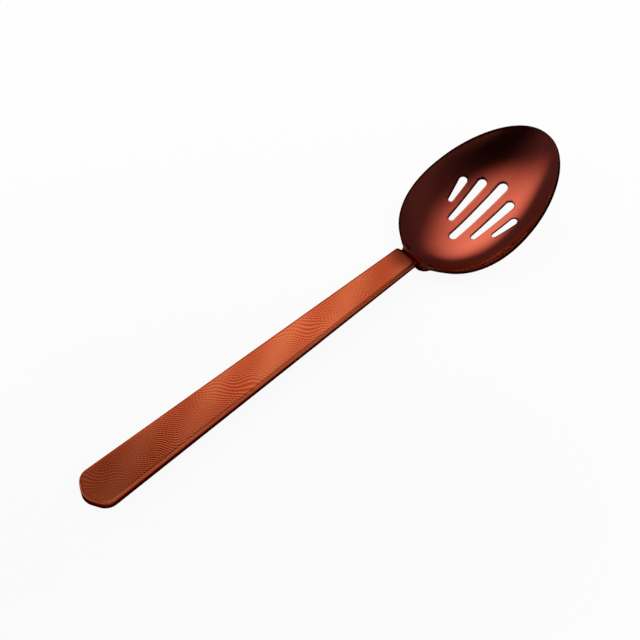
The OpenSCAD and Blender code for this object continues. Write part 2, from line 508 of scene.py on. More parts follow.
@dataclass(frozen=True)
class TangForm:
    """Flat bar at the back of the bowl, held by resin inside the handle."""

    bowl: BowlForm
    length: float = 55.0
    width: float = 8.0
    bar_t: float = 1.4
    end_r: float = 1.0
    corner_steps: int = 6
    hole_d: float = 3.0
    hole_shares: tuple[float, float] = (0.3, 0.7)

    def top(self, plan: Array) -> Array:
        """Upper face: a plane, half the bar's thickness over the handle's middle at the neck."""
        level = -(self.bowl.handle.neck_t - self.bar_t) / 2.0
        return np.column_stack([plan, np.full(len(plan), level)])

    def axis(self, plan: Array) -> Array:
        """Direction through the bar: straight up everywhere."""
        return np.tile([0.0, 0.0, 1.0], (len(plan), 1))

    def thickness(self, plan: Array) -> Array:
        """The bar's thickness everywhere."""
        return np.full(len(plan), self.bar_t)

    def under(self, plan: Array) -> Array:
        """Lower face."""
        return self.top(plan) - self.axis(plan) * self.bar_t

    def relief(self, plan: Array) -> Array:
        """A bar without a pattern."""
        return np.zeros(len(plan))

    def painted_neck_shade(self, points: Array) -> Array:
        """A bar without painted neck shade."""
        return np.zeros(len(points))

    def wall_share(self, plan: Array, share: float) -> Array:
        """A ring along the bar's edge is as much wall as its turn says."""
        return np.full(len(plan), share)

    def square_to_rim(self, plan: Array) -> Array:
        """The holes of a flat bar run straight down."""
        return plan


@dataclass(frozen=True)
class RestingPose:
    """How the spoon lies: its tail and the bottom of its bowl both touch the table.

    The pitch is in radians and the shifts are in millimetres.
    """

    pitch: float
    shift_x: float
    shift_z: float

    @classmethod
    def of(cls, bowl: BowlForm) -> "RestingPose":
        """Work the pose out from the tail's lower corner and the bowl's keel.

        Args:
            bowl: the pressed sheet.

        Returns:
            The pose that turns handle places to places in the frame.
        """
        handle = bowl.handle
        foot_x, foot_z = handle.bottom_edge_r, -handle.thickness(handle.corner_r)
        keel = bowl.keel()
        pitch = float(np.max(np.arctan2(foot_z - keel[:, 2], keel[:, 0] - foot_x)))
        tip = keel[-1]
        tail_end = handle.top_edge_r * math.sin(pitch)
        tip_end = tip[0] * math.cos(pitch) - tip[2] * math.sin(pitch)
        floor = foot_x * math.sin(pitch) + foot_z * math.cos(pitch)
        return cls(pitch, -(tail_end + tip_end) / 2.0, -floor)

    def turned(self, vectors: Array) -> Array:
        """Directions of the handle's frame, pitched about its y axis into the shared frame.

        Args:
            vectors: (..., 3) directions.

        Returns:
            (..., 3) directions.
        """
        sine, cosine = math.sin(self.pitch), math.cos(self.pitch)
        x, z = vectors[..., 0], vectors[..., 2]
        return np.stack([x * cosine - z * sine, vectors[..., 1], x * sine + z * cosine], axis=-1)

    def placed(self, points: Array) -> Array:
        """Places of the handle's frame in millimetres as places of the shared frame in metres."""
        return (self.turned(points) + np.array([self.shift_x, 0.0, self.shift_z])) * MM


@dataclass
class Loop:
    """A line of plan points with normals that point away from the metal."""

    points: Array
    normals: Array
    closed: bool

    def moved(self, distance: Array | float) -> Array:
        """The points moved along their normals; a negative distance goes into the metal."""
        return self.points + self.normals * np.reshape(distance, (-1, 1))


@dataclass
class MeshParts:
    """Vertices and faces gathered piece by piece."""

    points: list[Array] = field(default_factory=list)
    faces: list[list[int]] = field(default_factory=list)
    count: int = 0

    def add(self, points: Array) -> Array:
        """Add vertices.

        Args:
            points: (..., 3) points.

        Returns:
            Their indices, in the points' own shape.
        """
        flat = points.reshape(-1, 3)
        self.points.append(flat)
        index = np.arange(self.count, self.count + len(flat)).reshape(points.shape[:-1])
        self.count += len(flat)
        return index

    def strip(self, first: Array, second: Array, closed: bool = False) -> None:
        """Join two rows of vertices with a row of quads.

        Args:
            first: indices of one row.
            second: indices of the other row, as many.
            closed: whether the rows run round in a ring.
        """
        a, b = (np.append(r, r[0]) if closed else r for r in (first, second))
        self.faces += np.column_stack([a[:-1], a[1:], b[1:], b[:-1]]).tolist()

    def grid(self, index: Array) -> None:
        """Fill a rectangular array of vertices with quads."""
        self.faces += grid_quads(index).tolist()

    def folded_strip(self, ring: Array) -> None:
        """Fill a flat outline that is its own mirror image: each pair of points with the next.

        Args:
            ring: indices along the outline.
        """
        half = len(ring) // 2
        left, right = ring[:half], ring[::-1][:half]
        self.strip(left, right)
        if len(ring) % 2:
            self.faces.append([int(left[-1]), int(ring[half]), int(right[-1])])

    def build(self, name: str, pose: RestingPose) -> Piece:
        """Make the object, with its place in its mesh and its faces pointing outwards.

        Args:
            name: name of the piece.
            pose: the resting pose.

        Returns:
            The linked object, smooth shaded.
        """
        mesh = bpy.data.meshes.new(name)
        mesh.from_pydata(pose.placed(np.concatenate(self.points)), [], self.faces)
        work = bmesh.new()
        work.from_mesh(mesh)
        bmesh.ops.recalc_face_normals(work, faces=work.faces)
        if work.calc_volume(signed=True) < 0.0:
            bmesh.ops.reverse_faces(work, faces=work.faces)
        open_edges = sum(1 for edge in work.edges if len(edge.link_faces) != 2)
        work.to_mesh(mesh)
        work.free()
        mesh.shade_smooth()
        mesh.set_sharp_from_angle(angle=SHARP_ANGLE)
        piece = bpy.data.objects.new(name, mesh)
        bpy.context.scene.collection.objects.link(piece)
        log.info("%s: %d faces, %d open edges", name, len(mesh.polygons), open_edges)
        return piece


def store(piece: Piece, name: str, values: Array, rest: float = 0.0) -> None:
    """Keep one value for each vertex of a piece.

    Args:
        piece: the object.
        name: the attribute's name.
        values: values of the first vertices.
        rest: value of the vertices past them.
    """
    whole = np.full(len(piece.data.vertices), rest, dtype=np.float32)
    whole[:len(values)] = values
    piece.data.attributes.new(name, "FLOAT", "POINT").data.foreach_set("value", whole)


@dataclass(frozen=True)
class EdgeRound:
    """Rounding of a sheet's edge, as quarter arcs from its faces to its wall."""

    upper_r: Array | float
    lower_r: Array | float
    steps: int = 5

    def rings(self) -> list[tuple[Array | float, Array | float, bool, float]]:
        """Insets and drops from the top face down to the lower one.

        At angle f of a quarter arc of radius r, the inset is r (1 - cos f), the drop under the
        face is r (1 - sin f), and cos f says how much the ring belongs to the wall.

        Returns:
            (inset, drop, measured from the upper face, share of wall) for each ring.
        """
        turns = np.linspace(math.pi / 2.0, 0.0, self.steps + 1)[1:]
        rings = []
        for r, order, from_top in ((self.upper_r, turns, True), (self.lower_r, turns[::-1], False)):
            rings += [(r * (1 - math.cos(f)), r * (1 - math.sin(f)), from_top, math.cos(f))
                      for f in order]
        return rings


@dataclass
class CutSheet:
    """A sheet with rounded edges, holes and one square end, worked out over its plan.

    Both faces share one triangle pattern: rings along the outline and the holes, and an even
    lattice between them. Every vertex is a function of its two plan values.
    """

    form: BowlForm | TangForm
    outline: Loop
    outline_round: EdgeRound
    holes: list[Loop]
    hole_round: EdgeRound
    spacing: float
    fine_spacing: float
    fine_to: float
    clear_share: float = 0.7
    least_inset: float = 0.05

    @property
    def edges(self) -> list[tuple[Loop, EdgeRound]]:
        """Every edge with its rounding, the outline first."""
        return [(self.outline, self.outline_round), *((hole, self.hole_round) for hole in self.holes)]

    def bounds(self, lower: bool) -> list[Array]:
        """Rings that bound one face, the outline's closed along its straight end.

        Args:
            lower: whether it is the lower face, where holes are square to the rim.

        Returns:
            (n, 2) rings, outline first.
        """
        rings = [loop.moved(-np.asarray(rounding.lower_r if lower else rounding.upper_r))
                 for loop, rounding in self.edges]
        if lower:
            rings[1:] = [self.form.square_to_rim(ring) for ring in rings[1:]]
        end_count = int(np.ptp(self.outline.points[[0, -1], 1]) / self.spacing)
        shares = np.linspace(0.0, 1.0, end_count + 2)[1:-1, None]
        rings[0] = np.concatenate([rings[0], mix(rings[0][-1], rings[0][0], shares)])
        return rings

    def wall(self, loop: Loop, rounding: EdgeRound) -> tuple[list[Array], list[Array]]:
        """Rings of one edge between the two faces, from the top down.

        A point is top(plan) - axis * depth. A hole's lower rings lie square to the rim, under
        the upper ones. On the outline the axis is read a little inside, where the form is smooth.

        Args:
            loop: the edge.
            rounding: its rounding.

        Returns:
            (n, 3) points of each ring, and how much they belong to the wall.
        """
        form, rings, shares = self.form, [], []
        for inset, drop, from_top, share in rounding.rings():
            plan = read = loop.moved(-np.asarray(inset))
            if not loop.closed:
                read = loop.moved(-np.maximum(inset, self.least_inset))
            elif not from_top:
                plan = read = form.square_to_rim(plan)
            depth = drop if from_top else form.thickness(plan) - drop
            rings.append(form.top(plan) - form.axis(read) * np.reshape(depth, (-1, 1)))
            shares.append(form.wall_share(plan, share))
        return rings, shares

    def lattice(self, loops: list[Array]) -> Array:
        """Triangular lattice inside the outline, clear of every loop, finer in the first stretch.

        Args:
            loops: the rings that bound the metal, outline first.

        Returns:
            (n, 2) plan places.
        """
        low, high = loops[0].min(axis=0), loops[0].max(axis=0)

        def even_lattice(step: float) -> Array:
            """Lattice over the whole box of the outline, every other row half a step on.

            Args:
                step: distance between neighbours.

            Returns:
                (n, 2) places.
            """
            rise = step * math.sqrt(3.0) / 2.0
            rows, columns = (np.ceil((high - low)[::-1] / [rise, step])).astype(int)
            row, column = np.mgrid[0:rows, 0:columns]
            x = low[0] + (column + 0.5 * (row % 2)) * step
            return np.stack([x, low[1] + row * rise], axis=-1).reshape(-1, 2)

        fine, coarse = even_lattice(self.fine_spacing), even_lattice(self.spacing)
        fine = fine[fine[:, 0] < self.fine_to]
        coarse = coarse[coarse[:, 0] > self.fine_to + self.spacing / 2.0]
        places = np.concatenate([fine, coarse])
        inside = self.inside(loops[0], places)
        for hole in loops[1:]:
            inside &= ~self.inside(hole, places)
        places = places[inside]
        clear = places[:, 0] > low[0] + self.clear_share * self.fine_spacing
        reach = np.where(places[:, 0] < self.fine_to, self.fine_spacing, self.spacing)
        for loop in loops:
            gap = np.linalg.norm(places[:, None, :] - loop[None, :, :], axis=-1).min(axis=1)
            clear &= gap > self.clear_share * reach
        return places[clear]

    @staticmethod
    def inside(loop: Array, places: Array) -> Array:
        """Crossing test of places against a closed polygon, for all places and sides at once.

        Args:
            loop: (m, 2) polygon.
            places: (n, 2) places.

        Returns:
            (n,) whether a ray from the place crosses the polygon an odd number of times.
        """
        x, y = places[:, :1], places[:, 1:]
        start, end = loop, np.roll(loop, -1, axis=0)
        straddles = (start[:, 1] > y) != (end[:, 1] > y)
        rise = np.where(end[:, 1] == start[:, 1], 1.0, end[:, 1] - start[:, 1])
        crossing = start[:, 0] + (y - start[:, 1]) * (end[:, 0] - start[:, 0]) / rise
        return (straddles & (x < crossing)).sum(axis=1) % 2 == 1

    @staticmethod
    def triangles(loops: list[Array], places: Array) -> Array:
        """Join the loops and the lattice into triangles that keep every loop as edges.

        Args:
            loops: closed rings in plan, outline first.
            places: lattice places, whose indices follow those of the loops.

        Returns:
            (n, 3) triangles that lie in the metal.
        """
        counts = [len(loop) for loop in loops]
        ends = np.cumsum(counts)
        owner = np.repeat([*range(len(loops)), -1], [*counts, len(places)])
        edges = []
        for start, end in zip(ends - counts, ends):
            ring = np.arange(start, end)
            edges += np.column_stack([ring, np.roll(ring, -1)]).tolist()
        corners = [Vector(place) for place in np.concatenate(loops + [places]).tolist()]
        _, _, found, origins, *_ = delaunay_2d_cdt(corners, edges, [], CDT_INSIDE, CDT_GAP)
        faces = np.array([origin[0] for origin in origins])[np.array(found)]
        a, b, c = owner[faces].T
        return faces[~((a > 0) & (a == b) & (b == c))]

    def build(self, name: str, pose: RestingPose) -> Piece:
        """Build the closed sheet.

        Args:
            name: name of the piece.
            pose: the resting pose.

        Returns:
            The object.
        """
        form, upper_rings, lower_rings = self.form, self.bounds(False), self.bounds(True)
        places = self.lattice(upper_rings)
        faces = self.triangles(upper_rings, places)
        parts = MeshParts()
        plan = np.concatenate(upper_rings + [places])
        upper = parts.add(form.top(plan) - form.axis(plan) * form.relief(plan)[:, None])
        lower = parts.add(form.under(np.concatenate(lower_rings + [places])))
        parts.faces += upper[faces].tolist() + lower[faces][:, ::-1].tolist()
        shares, walls, start = [np.zeros(2 * len(plan))], [], 0
        for (loop, rounding), ring in zip(self.edges, upper_rings):
            points, wall_shares = self.wall(loop, rounding)
            shares += wall_shares
            span = slice(start, start + len(loop.points))
            start += len(ring)
            rows = [upper[span], *(parts.add(row) for row in points), lower[span]]
            for above, below in zip(rows[:-1], rows[1:]):
                parts.strip(above, below, closed=loop.closed)
            walls.append(rows)
        left, right = ([int(row[end]) for row in walls[0]] for end in (0, -1))
        end_line = slice(len(self.outline.points), len(upper_rings[0]))
        top_line, low_line = (face[end_line].tolist() for face in (upper, lower))
        parts.faces.append(left[::-1] + top_line[::-1] + right + low_line)
        piece = parts.build(name, pose)
        # The wall and neck shares set where the finishes paint dark shade.
        store(piece, "wall", np.concatenate(shares))
        store(piece, "neck", form.painted_neck_shade(np.concatenate(parts.points)))
        return piece


@dataclass
class SlottedBowl:
    """Pressed bowl with its five slots, its stem and the tang behind it."""

    pose: RestingPose
    form: BowlForm = field(default_factory=BowlForm)
    spacing: float = 0.75
    fine_spacing: float = 0.3
    rim_r: float = 0.45
    slot_r: float = 0.22
    slot_edge_steps: int = 3
    tang_edge_r: float = 0.2
    tang_edge_steps: int = 2
    tang_steps: int = 160
    hole_steps: int = 32
    far_end_steps: int = 22
    near_end_steps: int = 18
    rim_samples: tuple[int, int] = (800, 3000)
    # Ends of the middle slot and of the two outside it: shares of the rim's length, of the half
    # width and of the middle slot's own width at that end.
    near_w: float = 4.2
    near_ends: tuple[tuple[float, ...], ...] = (
        (0.256, 0.0, 1.0), (0.326, 0.254, 0.73), (0.404, 0.489, 0.66))
    far_w: float = 5.5
    far_ends: tuple[tuple[float, ...], ...] = (
        (0.637, 0.0, 1.0), (0.583, 0.310, 0.91), (0.525, 0.564, 0.81))

    def rim_loop(self) -> Loop:
        """Outline of the sheet from the stem's end, round the tip and back, in even steps.

        Returns:
            The open loop, with normals that point away from the metal.
        """
        form = self.form
        neck = mix(form.stem_x, form.dish_x, np.linspace(0.0, 1.0, self.rim_samples[0]))[:-1]
        turn = np.linspace(0.0, math.pi / 2.0, self.rim_samples[1])
        bowl = mix(form.dish_x, form.tip_x, np.sin(turn))
        stations = np.concatenate([neck, bowl])
        side = np.column_stack([stations, form.half_w(stations)])
        whole = np.concatenate([side, side[-2::-1] * [1.0, -1.0]])
        length = np.linalg.norm(np.diff(whole, axis=0), axis=1).sum()
        points = resample(whole, int(length / self.spacing))
        return Loop(points, edge_normals(points, 1.0, 1.0), closed=False)

    def slot_loop(self, number: int, side: int) -> Loop:
        """Outline of one tapered slot with round ends, in the plan of the rim.

        A point is centre(s) + radius(s) n(t): s runs along the slot's middle line, and the normal
        n turns through t round both ends and stays put along the sides.

        Args:
            number: 0 for the middle slot, then outwards.
            side: 1 or -1, the side that the slot lies on.

        Returns:
            The closed loop, with normals that point into the slot.
        """
        form, half = self.form, self.form.width / 2.0
        ends = (self.near_ends[number], self.far_ends[number])
        near, far = (np.array([along * form.length, side * aside * half]) for along, aside, _ in ends)
        near_r, far_r = (w * end[2] / 2.0 for w, end in zip((self.near_w, self.far_w), ends))
        axis, length = unit(far - near), float(np.linalg.norm(far - near))
        lateral = np.array([-axis[1], axis[0]])
        lean = math.acos((near_r - far_r) / length)
        run = np.linspace(0.0, 1.0, int(length / self.spacing))[1:-1]
        far_turn = np.linspace(lean, -lean, self.far_end_steps)
        near_turn = np.linspace(-lean, lean - 2.0 * math.pi, self.near_end_steps)
        share = np.concatenate([np.ones_like(far_turn), run[::-1], np.zeros_like(near_turn), run])
        turn = np.concatenate([far_turn, np.full_like(run, -lean), near_turn, np.full_like(run, lean)])
        outward = np.cos(turn)[:, None] * axis + np.sin(turn)[:, None] * lateral
        places = mix(near, far, share[:, None]) + outward * mix(near_r, far_r, share)[:, None]
        stretch = np.array([math.cos(form.rim_angle), 1.0])
        return Loop(places * stretch + [form.bowl_x, 0.0], -outward, closed=True)

    def build(self) -> list[Piece]:
        """Build the bowl and its tang.

        Returns:
            The two pieces.
        """
        form, rim = self.form, self.rim_loop()
        share = form.bend_share(rim.points * [1.0, 0.0])
        neck_edges = (form.handle.top_edge_r, form.handle.bottom_edge_r)
        edge = EdgeRound(*(mix(r, self.rim_r, share) for r in neck_edges))
        slot_edge = EdgeRound(self.slot_r, self.slot_r, self.slot_edge_steps)
        slots = [self.slot_loop(0, 1)] + [self.slot_loop(k, side) for k in (1, 2) for side in (-1, 1)]
        sheet = CutSheet(form, rim, edge, slots, slot_edge, self.spacing, self.fine_spacing,
                         form.stem_x + form.pattern_run)
        return [sheet.build("bowl_sheet", self.pose), self.build_tang()]

    def build_tang(self) -> Piece:
        """Build the flat tang, a bar with rounded corners at its end and two keying holes.

        Returns:
            The piece.
        """
        tang = TangForm(self.form)
        stem_x, half = self.form.stem_x, tang.width / 2.0
        tail = stem_x - tang.length
        turn = np.linspace(0.0, math.pi / 2.0, tang.corner_steps)
        corner = np.column_stack([tail + tang.end_r * (1 - np.sin(turn)),
                                  half - tang.end_r * (1 - np.cos(turn))])
        side = np.concatenate([[[stem_x, half]], corner])
        points = resample(np.concatenate([side, side[::-1] * [1.0, -1.0]]), self.tang_steps)
        outline = Loop(points, edge_normals(points, -1.0, 1.0), closed=False)
        around = np.linspace(0.0, 2.0 * math.pi, self.hole_steps, endpoint=False)
        outward = np.column_stack([np.cos(around), np.sin(around)])
        centres = [[stem_x - tang.length * share - self.form.handle.weld_t, 0.0]
                   for share in tang.hole_shares]
        holes = [Loop(centre + outward * tang.hole_d / 2.0, -outward, closed=True)
                 for centre in centres]
        edge = EdgeRound(self.tang_edge_r, self.tang_edge_r, self.tang_edge_steps)
        bar = CutSheet(tang, outline, edge, holes, edge, self.spacing, self.spacing, tail)
        return bar.build("bowl_tang", self.pose)

    def dress(self, pieces: list[Piece], polished: Material, plain: Material) -> None:
        """Give the bowl its mirror finish and the tang its plain one.

        Args:
            pieces: the bowl and the tang.
            polished: finish of the bowl.
            plain: finish of the tang.
        """
        for piece, material, slot in zip(pieces, (polished, plain), (Slot.POLISHED, Slot.WELD)):
            piece.data.materials.append(material)
            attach(piece, BODY)
            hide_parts("slotted_bowl")


@dataclass
class HandleShell:
    """One pressed half of the hollow handle, a closed shell with its inner wall.

    Over the plan, the outer face is an even grid bounded by the tail, both sides and the neck.
    Rings along tail and sides then carry it over the edge, down the wall, round the lip at the
    seam and up the inner wall, and the neck end is closed by its own U section.
    """

    pose: RestingPose
    side: ShellSide
    name: str
    form: HandleForm = field(default_factory=HandleForm)
    pattern: HammerPattern = field(default_factory=HammerPattern)
    step: float = 0.25
    edge_steps: int = 9
    wall_steps: int = 2
    inner_steps: int = 4
    bow_steps: int = 40
    corner_steps: int = 400
    tail_share: float = 0.42
    dent_gain: float = 1.6
    dent_loss: float = 0.5

    @property
    def edge_r(self) -> float:
        """Rounding between the outer face and the wall."""
        return self.form.top_edge_r if self.side is ShellSide.UPPER else self.form.bottom_edge_r

    def outline(self) -> tuple[Loop, int, int]:
        """Plan outline of the handle, from the neck round the tail and back.

        The side is straight, its corner an arc, and the tail two straight runs that meet in an
        arc of the same radius. A side gives way to the tail where the normal points diagonally.

        Returns:
            The open loop, the place in it where the right side ends, and where the left starts.
        """
        form, r = self.form, self.form.corner_r
        corner_x = r + form.tail_bow
        corner_y = form.half_w(corner_x) - r
        bow = math.atan2(form.tail_bow, corner_y)
        slope = math.atan2((form.tail_w - form.neck_w) / 2.0, form.length)
        middle = np.linspace(0.0, bow, self.bow_steps)
        corner = np.linspace(bow, math.pi / 2.0 + slope, self.corner_steps)
        arc = np.concatenate([
            np.column_stack([r - r * np.cos(middle), r * np.sin(middle)]),
            np.column_stack([corner_x - r * np.cos(corner), corner_y + r * np.sin(corner)]),
            [[form.length, form.half_w(form.length)]],
        ])
        cut = len(middle) + int(np.argmin(np.abs(corner - math.pi / 4.0)))
        along = int(form.length / self.step)
        across = 2 * int(form.tail_w / self.step / 2.0 * self.tail_share) + 1
        left = resample(arc[cut:], along)
        half_tail = resample(arc[:cut + 1], across)
        tail = np.concatenate([half_tail[:0:-1] * [1.0, -1.0], half_tail])
        whole = np.concatenate([left[:0:-1] * [1.0, -1.0], tail, left[1:]])
        loop = Loop(whole, edge_normals(whole, 1.0, -1.0), closed=False)
        return loop, along - 1, along + len(tail) - 2

    def face_level(self, plan: Array) -> Array:
        """Level of the outer face: the flat top, or the underside that tapers to the neck."""
        return np.zeros(len(plan)) if self.side is ShellSide.UPPER else -self.form.thickness(plan[:, 0])

    def lip_level(self, plan: Array) -> Array:
        """Level of the lip, half the seam's height from the middle of the handle."""
        return (self.side.value * self.form.seam_h - self.form.thickness(plan[:, 0])) / 2.0

    @staticmethod
    def face_plan(right: Array, tail: Array, left: Array) -> Array:
        """Even grid over the plan of the outer face.

        With the neck as a straight fourth border, a place is the blend between the sides plus the
        blend between the ends, less the blend between the four corners.

        Args:
            right: border from the tail to the neck.
            tail: border from the right side to the left one.
            left: border from the tail to the neck.

        Returns:
            (rows, columns, 2) plan places.
        """
        s = np.linspace(0.0, 1.0, len(right))[:, None, None]
        t = np.linspace(0.0, 1.0, len(tail))[None, :, None]
        neck = mix(right[-1], left[-1], t[0])
        sides = mix(right[:, None], left[:, None], t)
        ends = mix(tail[None], neck[None], s)
        corners = mix(mix(tail[0], tail[-1], t), mix(neck[0], neck[-1], t), s)
        return sides + ends - corners

    def build(self) -> Piece:
        """Build the shell.

        With f the turn round the edge, a ring of the rounding is inset by r (1 - cos f) and lies
        r (1 - sin f) from the face. The dents fade out with sin f.

        Returns:
            The object, with the attributes dent, neck and wall on its vertices.
        """
        form, side, r = self.form, self.side.value, self.edge_r
        whole, first, last = self.outline()
        inner = whole.moved(-r)
        places = self.face_plan(inner[first::-1], inner[first:last + 1], inner[last:])
        plan = places.reshape(-1, 2)
        parts, dent, wall = MeshParts(), [], [np.zeros(len(plan))]

        def press(points: Array, normals: Array | list[float], fade: float) -> Array:
            """Push points in along their normals by the pattern's depth, and note its shares.

            Args:
                points: (n, 3) points of the plain surface.
                normals: their normals.
                fade: share of the pattern that is left here.

            Returns:
                (n, 3) points.
            """
            upper = self.side is ShellSide.UPPER
            share = self.pattern.share(points[:, :2]) * fade if upper else np.zeros(len(points))
            dent.append(share)
            return points - np.asarray(normals) * (share * self.pattern.depth)[:, None]

        surface = press(np.column_stack([plan, self.face_level(plan)]), [0.0, 0.0, float(side)], 1.0)
        grid = parts.add(surface.reshape(*places.shape[:2], 3))
        parts.grid(grid)
        rings = [np.concatenate([grid[:0:-1, 0], grid[0], grid[1:, -1]])]

        def carry(points: Array) -> None:
            """Add a ring of vertices and join it to the one before."""
            rings.append(parts.add(points))
            parts.strip(*rings[-2:])

        for f in np.linspace(math.pi / 2.0, 0.0, self.edge_steps + 1)[1:]:
            edge = whole.moved(-r * (1.0 - math.cos(f)))
            upright = np.full(len(edge), side * math.sin(f))
            normals = np.column_stack([whole.normals * math.cos(f), upright])
            level = self.face_level(edge) - side * r * (1.0 - math.sin(f))
            fade = float(ease(math.sin(f) * self.dent_gain - self.dent_loss))
            carry(press(np.column_stack([edge, level]), normals, fade))
            wall.append(np.full(len(edge), math.cos(f)))
        top_of_wall = self.face_level(whole.points) - side * r
        for share in np.linspace(0.0, 1.0, self.wall_steps + 1)[1:]:
            level = mix(top_of_wall, self.lip_level(whole.points), share)
            carry(np.column_stack([whole.points, level]))
        thin = whole.moved(-form.shell_t)
        carry(np.column_stack([thin, self.lip_level(thin)]))
        inner_r = r - form.shell_t
        ceiling = self.face_level(thin) - side * form.shell_t
        for f in np.linspace(0.0, math.pi / 2.0, self.inner_steps):
            arc = whole.moved(-form.shell_t - inner_r * (1.0 - math.cos(f)))
            carry(np.column_stack([arc, ceiling - side * inner_r * (1.0 - math.sin(f))]))
        parts.folded_strip(rings[-1])
        first_end, last_end = ([int(ring[k]) for ring in rings] for k in (0, -1))
        parts.faces.append(first_end[::-1] + grid[-1, 1:-1].tolist() + last_end)
        piece = parts.build(self.name, self.pose)
        store(piece, "dent", np.concatenate(dent))
        # The neck and wall shares set where the finishes paint dark shade.
        store(piece, "neck", form.painted_neck_shade(np.concatenate(parts.points)))
        store(piece, "wall", np.concatenate(wall), rest=1.0)
        return piece

    def dress(self, piece: Piece, material: Material) -> None:
        """Give the shell its finish and its place in the frame.

        Args:
            piece: the shell.
            material: its finish.
        """
        upper = self.side is ShellSide.UPPER
        piece.data.materials.append(material)
        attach(piece, BODY)
        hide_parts("handle_top_shell" if upper else "handle_bottom_shell")


def linear(hexadecimal: str) -> tuple[float, float, float, float]:
    """Turn an sRGB colour such as #C86A48 to linear light, by the curve of its standard.

    Args:
        hexadecimal: the colour.

    Returns:
        Red, green, blue and full opacity.
    """
    values = np.array([int(hexadecimal[k:k + 2], 16) for k in (1, 3, 5)]) / 255.0
    light = np.where(values <= 0.04045, values / 12.92, ((values + 0.055) / 1.055) ** 2.4)
    return (*light.tolist(), 1.0)


def add_node(tree: Tree, kind: str, settings: dict | None = None, inputs: dict | None = None) -> Node:
    """Add one node with its settings, values and links.

    Args:
        tree: the node tree.
        kind: node type, such as ShaderNodeTexNoise.
        settings: node properties by name.
        inputs: socket values or output sockets to link, by socket name or number.

    Returns:
        The node.
    """
    node = tree.nodes.new(kind)
    for name, value in (settings or {}).items():
        setattr(node, name, value)
    for name, value in (inputs or {}).items():
        if isinstance(value, Socket):
            tree.links.new(value, node.inputs[name])
        else:
            node.inputs[name].default_value = value
    return node


def set_ramp(node: Node, stops: list[tuple[float, str]]) -> None:
    """Set a colour ramp's stops.

    Args:
        node: the ramp.
        stops: place and sRGB colour of each.
    """
    ramp = node.color_ramp
    while len(ramp.elements) < len(stops):
        ramp.elements.new(1.0)
    for element, (place, colour) in zip(ramp.elements, stops):
        element.position = place
        element.color = linear(colour)


def new_material(name: str) -> tuple[Material, Tree, Node]:
    """Make an empty material.

    Args:
        name: its name.

    Returns:
        The material, its node tree and its output node.
    """
    material = bpy.data.materials.new(name)
    material.use_nodes = True
    material.node_tree.nodes.clear()
    return material, material.node_tree, add_node(material.node_tree, "ShaderNodeOutputMaterial")


def toned(tree: Tree, face: Socket | tuple, attribute: str, tone: str,
          span: tuple[float, float] = (0.0, 1.0)) -> Socket:
    """Blend a colour to another where an attribute of the mesh says so.

    Args:
        tree: the node tree.
        face: colour where the attribute is low.
        attribute: name of the attribute.
        tone: sRGB colour where it is high.
        span: its values at which the blend begins and ends.

    Returns:
        The colour to use.
    """
    value = add_node(tree, "ShaderNodeAttribute", {"attribute_name": attribute}).outputs["Fac"]
    share = add_node(tree, "ShaderNodeMapRange", {"interpolation_type": "SMOOTHSTEP"}, {
        "Value": value, "From Min": span[0], "From Max": span[1]})
    blend = add_node(tree, "ShaderNodeMix", {"data_type": "RGBA"}, {
        "Factor": share.outputs["Result"], COLOUR_A: face, COLOUR_B: linear(tone)})
    return blend.outputs[MIXED_COLOUR]


def coat(tree: Tree, output: Node, colours: tuple[Socket, Socket], roughness: float,
         shares: tuple[float, float], noises: tuple[Socket, Socket], height_mm: float) -> None:
    """Finish a copper film: its roughness and its fine relief each follow a noise.

    Args:
        tree: the node tree.
        output: its output node.
        colours: colour straight on, colour at grazing angles.
        roughness: middle roughness.
        shares: shares of it where the first noise is low and where it is high.
        noises: noise for the roughness, noise for the relief.
        height_mm: height of the relief.
    """
    low, high = (share * roughness for share in shares)
    varied = add_node(tree, "ShaderNodeMapRange", inputs={
        "Value": noises[0], "From Min": NOISE_LOW, "From Max": NOISE_HIGH,
        "To Min": low, "To Max": high})
    bump = add_node(tree, "ShaderNodeBump", inputs={"Height": noises[1], "Distance": height_mm * MM})
    shader = add_node(tree, "ShaderNodeBsdfPrincipled", inputs={
        "Base Color": colours[0], "Specular Tint": colours[1], "Metallic": 1.0,
        "Roughness": varied.outputs["Result"], "Normal": bump.outputs["Normal"]})
    tree.links.new(shader.outputs["BSDF"], output.inputs["Surface"])


